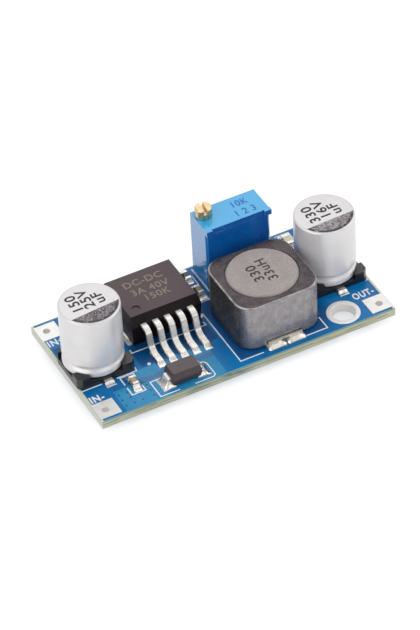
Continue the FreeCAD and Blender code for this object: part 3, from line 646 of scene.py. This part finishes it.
# What shiny parts mirror: white, fading to a dim room where they face the front
heading = world_tree.nodes.new("ShaderNodeTexCoord")
heading_parts = world_tree.nodes.new("ShaderNodeSeparateXYZ")
world_tree.links.new(heading.outputs["Generated"], heading_parts.inputs[0])
room = world_tree.nodes.new("ShaderNodeMapRange")
for socket, value in (("From Min", -0.8), ("From Max", -0.3), ("To Min", 0.1), ("To Max", 1.0)):
    room.inputs[socket].default_value = value
world_tree.links.new(heading_parts.outputs["Y"], room.inputs["Value"])
camera_ray = world_tree.nodes.new("ShaderNodeLightPath")
seen_strength = world_tree.nodes.new("ShaderNodeMath")
seen_strength.operation = "MAXIMUM"
world_tree.links.new(room.outputs["Result"], seen_strength.inputs[0])
world_tree.links.new(camera_ray.outputs["Is Camera Ray"], seen_strength.inputs[1])
world_white = world_tree.nodes.new("ShaderNodeBackground")
world_white.inputs["Color"].default_value = (1, 1, 1, 1)
world_tree.links.new(seen_strength.outputs[0], world_white.inputs["Strength"])
lit_background(
    world_tree, world_soft.outputs[0], world_white.outputs[0],
    world_tree.nodes["World Output"].inputs["Surface"],
)
bpy.context.scene.world = world

# Softboxes: name, place and size in mm, and power in watts
LAMP_AIM = Vector((0, 0, 5))
for name, place, size, power in (
    ("softbox_left", (-260, -80, 200), (300, 240), 0.3),
    ("softbox_right", (260, -60, 220), (260, 260), 0.22),
    ("softbox_back", (40, 260, 300), (320, 200), 0.2),
    ("softbox_front", (60, -300, 190), (220, 160), 0.17),
):
    lamp_data = bpy.data.lights.new(name, "AREA")
    lamp_data.shape = "RECTANGLE"
    lamp_data.size = size[0] * MM
    lamp_data.size_y = size[1] * MM
    lamp_data.energy = power
    lamp = bpy.data.objects.new(name, lamp_data)
    bpy.context.scene.collection.objects.link(lamp)
    aim = (LAMP_AIM - Vector(place)).to_track_quat("-Z", "Y")
    lamp.matrix_world = Matrix.Translation(Vector(place) * MM) @ aim.to_matrix().to_4x4()

# Copper areas that show through the mask

POUR_THICKNESS = 0.02
pour = [
    [(-17.9, -10.3), (-3.35, -10.3), (-3.35, -6.6), (-13.6, -6.6), (-14.0, -6.2), (-17.9, -6.2)],
    [(-14.2, -5.75), (-3.3, -5.75), (-3.3, -4.1), (-14.2, -4.1)],
]
plates("copper_under_mask", pour, TOP, POUR_THICKNESS, "mask_over_copper")
plates("thin_mask", [rectangle(-13.9, -6.6, -3.35, -5.75)], TOP, POUR_THICKNESS, "mask_thin")

# The copper areas under the board, and the printed frame round the trimmer's pins

LEGEND_WIDTH = 0.17
UNDER = -0.02
UNDER_THICKNESS = 0.03
# How far the frame and the vias stand out from the copper there
FRAME_BELOW = 0.012
VIAS_BELOW = 0.016
plates("copper_under_board", [
    rectangle(-17.6, -9.9, -13.2, 4.6, 0.3),
    rectangle(-12.9, -9.9, -0.9, 9.9, 0.3),
    rectangle(-0.6, -9.9, 12.5, 4.9, 0.3),
    rectangle(13.2, -4.7, 17.7, 9.9, 0.3),
], UNDER, UNDER_THICKNESS, "mask_over_copper")
pin_frame = line_outline([(1.3, 5.5), (1.3, 9.9), (12.4, 9.9), (12.4, 5.5), (1.3, 5.5)], LEGEND_WIDTH)
plates("legend_under", [pin_frame], UNDER - FRAME_BELOW, UNDER_THICKNESS, "silk_white")

# White legend

LEGEND_THICKNESS = 0.035
LEGEND_HEIGHT = 1.18
LEGEND_WEIGHT = 0.055
# The dot and the vias stand a hair above the lines and the copper
DOT_THICKNESS = 0.036
legend = [
    [(-21.4, -4.1), (-18.5, -4.1)],
    [(-16.2, -4.1), (-13.4, -4.1), (-13.3, -3.5)],
    [(-15.95, -5.8), (-15.95, -4.3), (-14.0, -4.3), (-14.0, -5.0)],
    [(-15.95, -6.5), (-15.95, -7.95), (-14.0, -7.95), (-14.0, -6.9)],
    [(-10.7, -6.95), (-12.9, -6.95), (-12.9, -10.1), (-10.2, -10.1)],
    [(-5.7, -6.75), (-5.1, -7.05), (-4.85, -7.4), (-4.85, -9.8), (-5.2, -10.12), (-7.85, -10.12)],
    [(-12.4, -0.15), (-12.4, -0.8), (-1.5, -0.8), (-1.5, -0.15)],
    [(2.5, -9.35), (-0.85, -9.35), (-0.85, 1.3)],
    [(8.8, -9.35), (12.05, -9.35), (12.05, -7.1)],
    [(1.4, 7.0), (1.4, 8.6)],
    [(-0.1, 3.45), (1.25, 3.45), (1.25, 5.0)],
    [(2.0, 4.4), (2.0, 9.9)],
    [(14.7, 10.05), (16.75, 10.05), (16.75, 8.6)],
    [(21.1, -3.8), (21.35, -3.55)],
]
legend = [line_outline(path, LEGEND_WIDTH) for path in legend]
plates("legend_lines", legend, TOP, LEGEND_THICKNESS, "silk_white")
plates("legend_dot", [disc(-11.4, -3.75, 0.24)], TOP, DOT_THICKNESS, "silk_white")
for name, words, x, y, narrow in (
    ("legend_input_negative", "IN-", -21.25, -6.76, 0.82),
    ("legend_input_positive", "IN+", -21.25, 5.7, 0.82),
    ("legend_output_negative", "OUT-", 17.8, -6.45, 0.7),
    ("legend_output_positive", "OUT+", 17.8, 5.4, 0.7),
):
    lettering(
        name, words, (x, y, TOP), LEGEND_HEIGHT, 0, "silk_white",
        narrow=narrow, weight=LEGEND_WEIGHT,
    )

# Filled holes, on the board and, with those under the regulator's tab, under it

VIA_RADIUS = 0.15
UNDER_VIA_RADIUS = 0.2
VIA_SIDES = 16
vias = [(x, y) for x in (-17.5, -16.3, -15.1, -13.5) for y in (-7.15, -8.2, -9.35)]
vias = [v for v in vias if v != (-15.1, -7.15)]
vias += [(-17.5, -5.9), (-5.3, -2.9), (-2.1, -1.6), (-1.4, -2.2), (-2.0, -2.8), (-1.3, -3.3), (-2.3, -3.9)]
discs = [disc(x, y, VIA_RADIUS, VIA_SIDES) for x, y in vias]
plates("filled_vias", discs, TOP, DOT_THICKNESS, "via_ring")
tab_vias = [(x, y) for x in (-10.6, -8.8, -7.0, -5.2, -3.4) for y in (2.6, 4.4, 6.2, 8.0)]
discs = [disc(x, y, UNDER_VIA_RADIUS, VIA_SIDES) for x, y in vias + tab_vias]
plates("filled_vias_under", discs, UNDER - VIAS_BELOW, UNDER_THICKNESS, "via_ring")

# Mounting holes: the plated barrel with a rolled, solder-thick rim on both faces of the board

RING_WIDTH = 0.7
BARREL_WALL = 0.1
# The rim's distance out from the bore, and its height over the board's face
RING_RIM = [
    (0.0, 0.0), (0.015, 0.05), (0.06, 0.085), (0.13, 0.1), (0.3, 0.085), (0.5, 0.09), (0.62, 0.085),
    (0.67, 0.055), (RING_WIDTH, 0.0),
]
# The rim under the board is a little flatter
UNDER_RIM = 0.8

for node in ("front_mounting_ring", "back_mounting_ring"):
    low, high = box(node)
    centre = middle(node)
    outer = (high.x - low.x) / 2
    bore = outer - RING_WIDTH
    upper = [(bore + out, TOP + rise) for out, rise in RING_RIM]
    under = [(bore + out, -rise * UNDER_RIM) for out, rise in RING_RIM[::-1]]
    wall = bore + BARREL_WALL
    profile = upper + [(outer, TOP - SUNK), (wall, TOP - SUNK), (wall, SUNK), (outer, SUNK)] + under
    ring = lathe(
        node + "_rolled", profile, centre.x, centre.y, "ring_plating", steps=96, closed=True,
    )
    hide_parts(node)

# Can capacitors: fine turned shells with the printed ends

# The straight side stands this far inside the rolled foot, which is the can's widest part
CAN_INSET = 0.02
FOOT_FLAT = 0.5
FOOT_ROLL = 0.32
GROOVE_START = 0.72
GROOVE_HEIGHT = 1.25
GROOVE_DEPTH = 0.36
GROOVE_STEPS = 16
SIDE_START = 2.1
# How much shorter than the can its straight side is
SIDE_SHORTER = 2.75
SIDE_STEPS = 6
SHOULDER_RADIUS = 0.33
SHOULDER_INSET = 0.35
END_RING = 2.0
CAN_PRINT_RADIUS = 3.86
CAN_PRINT_THICKNESS = 0.008
MOON_STEPS = 40
CAN_VALUE_HEIGHT = 1.45


def can_shell(name):
    """The crimped can: a rolled foot, a soft groove, straight sides and a rounded shoulder."""
    node = name + "_can"
    low, high = box(node)
    centre = middle(node)
    radius = (high.x - low.x) / 2
    z0, z1 = low.z, high.z
    foot = [(0, z0), (radius - FOOT_FLAT, z0)]
    foot += arc(radius - FOOT_ROLL, z0 + FOOT_ROLL, FOOT_ROLL, -90, 10, 8)
    groove = []
    for i in range(GROOVE_STEPS + 1):
        t = i / GROOVE_STEPS
        dip = 0.5 - 0.5 * math.cos(2 * math.pi * t)
        groove.append((radius - CAN_INSET - GROOVE_DEPTH * dip, z0 + GROOVE_START + GROOVE_HEIGHT * t))
    side = [
        (radius - CAN_INSET, z0 + SIDE_START + (z1 - z0 - SIDE_SHORTER) * i / SIDE_STEPS)
        for i in range(SIDE_STEPS + 1)
    ]
    shoulder = arc(radius - SHOULDER_INSET, z1 - SHOULDER_RADIUS, SHOULDER_RADIUS, 0, 90, 12)
    shell = lathe(
        name + "_shell", foot + groove + side + shoulder + [(END_RING, z1), (0, z1)],
        centre.x, centre.y, "can_aluminium", steps=160,
    )
    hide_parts(node)
    return centre, z1


def half_moon(centre, chord_left, chord_right):
    """The outline of the dark segment in front of a chord, given by the chord's two heights."""
    outline = []
    reach = CAN_PRINT_RADIUS
    start = math.atan2(chord_left, -math.sqrt(reach ** 2 - chord_left ** 2))
    end = math.atan2(chord_right, math.sqrt(reach ** 2 - chord_right ** 2))
    if start > 0:
        start -= 2 * math.pi
    for i in range(MOON_STEPS + 1):
        a = start + (end - start) * i / MOON_STEPS
        outline.append((centre.x + reach * math.cos(a), centre.y + reach * math.sin(a)))
    return outline


for side, chord, words in (
    ("input", (-1.88, -1.27), (("150", -18.57, -0.8), ("25V", -16.9, -0.75), ("uF", -15.3, -0.55))),
    ("output", (-1.66, -1.45), (("330", 16.17, -0.75), ("16V", 17.88, -0.65), ("uF", 19.5, -0.55))),
):
    name = side + "_capacitor"
    centre, top = can_shell(name)
    moon = half_moon(centre, *chord)
    plates(name + "_print", [moon], top, CAN_PRINT_THICKNESS, "can_print_" + side)
    for i, (word, x, y) in enumerate(words):
        lettering(
            name + "_value_%d" % i, word, (x, y, top), CAN_VALUE_HEIGHT, 90, "print_dark",
            narrow=1.08, weight=0.04,
        )

# Printed values on the other parts

INDUCTOR_VALUE_HEIGHT = 1.4
PRINT_HEIGHT = 1.2
inductor_top = box("inductor_core")[1].z
for name, words, x, y, narrow, weight in (
    ("inductor_value", "330", 5.75, -4.35, 1.08, 0.035),
    ("inductor_value_unit", "33uH", 7.45, -4.95, 1.0, 0.03),
):
    lettering(
        name, words, (x, y, inductor_top), INDUCTOR_VALUE_HEIGHT, 90, "print_ferrite",
        narrow=narrow, weight=weight,
    )
regulator_top = box("regulator_body")[1].z
for i, (words, x, y) in enumerate((("DC-DC", -9.6, 6.3), ("3A 40V", -9.3, 4.5), ("150K", -8.2, 2.95))):
    lettering(
        "regulator_print_%d" % (i + 1), words, (x, y, regulator_top), PRINT_HEIGHT, 0,
        "print_faint", narrow=1.0,
    )
trimmer_top = box("trimmer_housing")[1].z
for name, words, x, y in (("trimmer_print_1", "10K", 7.3, 7.6), ("trimmer_print_2", "1 2 3", 7.0, 5.75)):
    lettering(name, words, (x, y, trimmer_top), PRINT_HEIGHT, 0, "print_blue")

# The moulded marks on the trimmer's front: a raised ring round the dimple, and a short bent ridge beside it,
# in a paler blue that is a painted highlight

# The housing's front face stands this far behind its ears
EAR_DEPTH = 0.34
TRIMMER_FRONT = box("trimmer_housing")[0].y + EAR_DEPTH
MARK_X = 4.48
MARK_Z = box("trimmer_housing")[1].z - 0.6
MARK_RADIUS = 0.39
MARK_OPENING = 0.29
MARK_PROUD = 0.05
MARK_SUNK = 0.02


def upright(bm, outline, inner=None):
    """A raised mark on the trimmer's front, from an outline of (x, z) and an opening with as many points."""
    near, far = TRIMMER_FRONT - MARK_PROUD, TRIMMER_FRONT + MARK_SUNK
    count = len(outline)
    loops = [[bm.verts.new((x, y, z)) for x, z in outline] for y in (near, far)]
    if inner:
        loops += [[bm.verts.new((x, y, z)) for x, z in inner] for y in (far, near)]
    else:
        bm.faces.new(loops[0])
        bm.faces.new(loops[1][::-1])
    pairs = list(zip(loops, loops[1:] + loops[:1])) if inner else [(loops[0], loops[1])]
    for first, second in pairs:
        for i in range(count):
            j = (i + 1) % count
            bm.faces.new((first[i], first[j], second[j], second[i]))


bm = bmesh.new()
upright(bm, disc(MARK_X, MARK_Z, MARK_RADIUS), disc(MARK_X, MARK_Z, MARK_OPENING))
ridge = ((-1.0, -0.32), (-0.58, -0.32), (-0.58, 0.06), (-0.47, 0.06), (-0.47, -0.43), (-1.0, -0.43))
upright(bm, [(x + MARK_X, z + MARK_Z) for x, z in ridge])
piece("trimmer_front_marks", bm, "mark_blue", smooth=False)

# Solder: a bright skin over each land that rises in a hollow curve to the foot it holds

SKIN_STEP = 0.07
SKIN_LEAST_STEPS = 6
SKIN_HEIGHT = 0.07
SKIN_LOWEST = 0.012
SKIN_EDGE = 0.001
CLIMB_POWER = 1.8
CROWN_WIDTH = 0.6
SWELL_SCALE = 1.7
SWELL_HEIGHT = 0.04
RIPPLE_SCALE = 4.5
RIPPLE_HEIGHT = 0.008
# Each joint of a node has its own unevenness
SEED_STEP = 3.7
# How far a land reaches past what stands on it: to the sides, and past the toe
LAND_SIDE = 0.2
LAND_TOE = 0.85


def solder_skin(bm, seed, pad, foot, climb, reach, crown=0.0, edge=0.14, rough=1.0, corner=0.12):
    """A height field over a pad (x0, y0, x1, y1) that climbs round a foot of the same form."""
    x0, y0, x1, y1 = pad
    fx0, fy0, fx1, fy1 = foot
    nx = max(SKIN_LEAST_STEPS, round((x1 - x0) / SKIN_STEP))
    ny = max(SKIN_LEAST_STEPS, round((y1 - y0) / SKIN_STEP))
    grid = []
    for i in range(nx + 1):
        row = []
        for j in range(ny + 1):
            x = x0 + (x1 - x0) * i / nx
            y = y0 + (y1 - y0) * j / ny
            across, along = min(x - x0, x1 - x), min(y - y0, y1 - y)
            rim = min(across, along)
            if across < corner and along < corner:
                rim = corner - math.hypot(corner - across, corner - along)
            away = math.hypot(max(fx0 - x, 0, x - fx1), max(fy0 - y, 0, y - fy1))
            near = max(0.0, 1 - away / reach)
            swell = noise.noise(Vector((x * SWELL_SCALE, y * SWELL_SCALE, seed)))
            ripple = noise.noise(Vector((x * RIPPLE_SCALE, y * RIPPLE_SCALE, seed + 9)))
            uneven = rough * (SWELL_HEIGHT * swell + RIPPLE_HEIGHT * ripple)
            arched = math.sin(math.pi / 2 * min(1.0, max(0.0, rim) / CROWN_WIDTH))
            high = SKIN_HEIGHT + climb * near ** CLIMB_POWER + crown * arched + uneven
            fall = math.sqrt(max(0.0, min(1.0, rim / edge)))
            z = TOP + max(SKIN_LOWEST, high) * fall if rim > SKIN_EDGE else TOP - SUNK
            row.append(bm.verts.new((x, y, z)))
        grid.append(row)
    for i in range(nx):
        for j in range(ny):
            bm.faces.new((grid[i][j], grid[i + 1][j], grid[i + 1][j + 1], grid[i][j + 1]))
    ring = [grid[i][0] for i in range(nx + 1)] + [grid[nx][j] for j in range(1, ny + 1)]
    ring += [grid[i][ny] for i in range(nx - 1, -1, -1)] + [grid[0][j] for j in range(ny - 1, 0, -1)]
    bm.faces.new(ring[::-1])


def solder_piece(node, joints, material="solder"):
    """Replaces a node's plain solder with skins, one for each joint."""
    bm = bmesh.new()
    for number, joint in enumerate(joints):
        solder_skin(bm, number * SEED_STEP + len(node), **joint)
    made = piece(node + "_skin", bm, material)
    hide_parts(node)


def end_joints(low, high, heel, climb, reach):
    """The joints at the front and back ends of a box, on lands that begin the heel's length inside it."""
    joints = []
    for end, outward in ((low.y, -1), (high.y, 1)):
        inner = end - outward * heel
        tip = end + outward * LAND_TOE
        pad = (low.x - LAND_SIDE, min(inner, tip), high.x + LAND_SIDE, max(inner, tip))
        foot = (low.x, min(inner, end), high.x, max(inner, end))
        joints.append({"pad": pad, "foot": foot, "climb": climb, "reach": reach})
    return joints


LEAD_LAND = 2.5
LEAD_FOOT = 2.6
joints = []
for node in REGULATOR_LEADS:
    low, high = box(node)
    pad = (low.x - LAND_SIDE, low.y - LAND_TOE, high.x + LAND_SIDE, low.y + LEAD_LAND)
    foot = (low.x, low.y, high.x, low.y + LEAD_FOOT)
    joints.append({"pad": pad, "foot": foot, "climb": 0.34, "reach": 0.5})
solder_piece("regulator_solder", joints)

# The wide land under the regulator's tab, and the hollow of solder round the tab's foot

TAB_LAND_SIDE = 0.8
TAB_LAND_FRONT = 0.7
TAB_LAND_THICKNESS = 0.08
# The fillet's distance out from the tab and its height, and the most that it reaches behind the tab
TAB_FILLET = ((-0.05, 0.62), (0.02, 0.62), (0.05, 0.42), (0.1, 0.28), (0.18, 0.18), (0.3, 0.11), (0.42, 0.07))
FILLET_BACK = 0.19
FILLET_CORNER = 0.06
low, high = box("regulator_tab")
left, right = low.x - TAB_LAND_SIDE, high.x + TAB_LAND_SIDE
tab_land = rectangle(left, TAB_LAND_FRONT, right, high.y + LAND_SIDE, 0.25)
plates("regulator_tab_land", [tab_land], TOP, TAB_LAND_THICKNESS, "tinned_copper")
bm = bmesh.new()
rings = []
for out, rise in TAB_FILLET:
    behind = min(high.y + out, high.y + FILLET_BACK)
    outline = rectangle(low.x - out, low.y - out, high.x + out, behind, FILLET_CORNER + max(0, out))
    rings.append([bm.verts.new((x, y, TOP + rise)) for x, y in outline])
for inner, outer in zip(rings, rings[1:]):
    for i in range(len(inner)):
        j = (i + 1) % len(inner)
        bm.faces.new((outer[i], outer[j], inner[j], inner[i]))
bm.faces.new(rings[-1][::-1])
bm.faces.new(rings[0])
piece("regulator_tab_fillet", bm, "tinned_lead")

# The joints of the capacitors, the diode, the chips and the inductor

for name in ("input_capacitor", "output_capacitor"):
    solder_piece(name + "_solder", end_joints(*box(name + "_leads"), heel=2.3, climb=0.22, reach=0.55))

STRAP_FOOT = 1.1
# The straps are narrower than the body by this much on each side
STRAP_SIDE = 0.6
low, high = box("diode_body")
left, right = box("diode_input_strap")[0].x, box("diode_output_strap")[1].x
joints = []
for pad_x, foot_x in (
    ((left - LAND_TOE, left + STRAP_FOOT), (left, left + STRAP_FOOT)),
    ((right - STRAP_FOOT, right + LAND_TOE), (right - STRAP_FOOT, right)),
):
    pad = (pad_x[0], low.y, pad_x[1], high.y)
    foot = (foot_x[0], low.y + STRAP_SIDE, foot_x[1], high.y - STRAP_SIDE)
    joints.append({"pad": pad, "foot": foot, "climb": 0.75, "reach": 0.75, "crown": 0.08})
solder_piece("diode_solder", joints)

for name, heel, climb in (
    ("filter_capacitor", 0.35, 0.6), ("feedback_capacitor", 0.35, 0.6), ("feedback_resistor", 0.35, 0.4),
    ("indicator", 0.45, 0.6),
):
    solder_piece(name + "_solder", end_joints(*box(name + "_ends"), heel=heel, climb=climb, reach=0.6))

# Two mounds side by side at each clip, parted by a narrow seam
SEAM = (6.07, 6.13)
CLIP_SIDE = 0.3
CLIP_HEEL = 2.0
CLIP_FRONT = 0.35
joints = []
for node, outward in (("inductor_front_clip", -1), ("inductor_back_clip", 1)):
    low, high = box(node)
    face = low.y if outward < 0 else high.y
    inner = face - outward * CLIP_HEEL
    front = face + outward * CLIP_FRONT
    tip = face + outward * LAND_TOE
    for x0, x1 in ((low.x - CLIP_SIDE, SEAM[0]), (SEAM[1], high.x + CLIP_SIDE)):
        joints.append({
            "pad": (x0, min(inner, tip), x1, max(inner, tip)),
            "foot": (x0 + 0.35, min(inner, front), x1 - 0.3, max(inner, front)),
            "climb": 0.47, "reach": 9.0, "edge": 0.75, "rough": 1.5, "corner": 0.6,
        })
solder_piece("inductor_solder", joints, "solder_dull")

# Edges of the CAD nodes, with the width of each bevel

for node, width in (
    ("circuit_board", 0.04), ("regulator_body", 0.07), ("regulator_tab", 0.05), ("diode_body", 0.06),
    ("trimmer_housing", 0.07), ("trimmer_screw", 0.06), ("input_capacitor_base", 0.08),
    ("output_capacitor_base", 0.08), ("inductor_front_clip", 0.05), ("inductor_back_clip", 0.05),
    ("diode_input_strap", 0.04), ("diode_output_strap", 0.04), ("filter_capacitor_ends", 0.05),
    ("feedback_capacitor_ends", 0.05), ("feedback_resistor_ends", 0.04), ("indicator_ends", 0.05),
    ("filter_capacitor_body", 0.04), ("feedback_capacitor_body", 0.04), ("indicator_body", 0.05),
    ("input_capacitor_leads", 0.04), ("output_capacitor_leads", 0.04),
):
    soften(node, width)
LEAD_BEVEL = 0.06
for node in REGULATOR_LEADS:
    soften(node, LEAD_BEVEL)
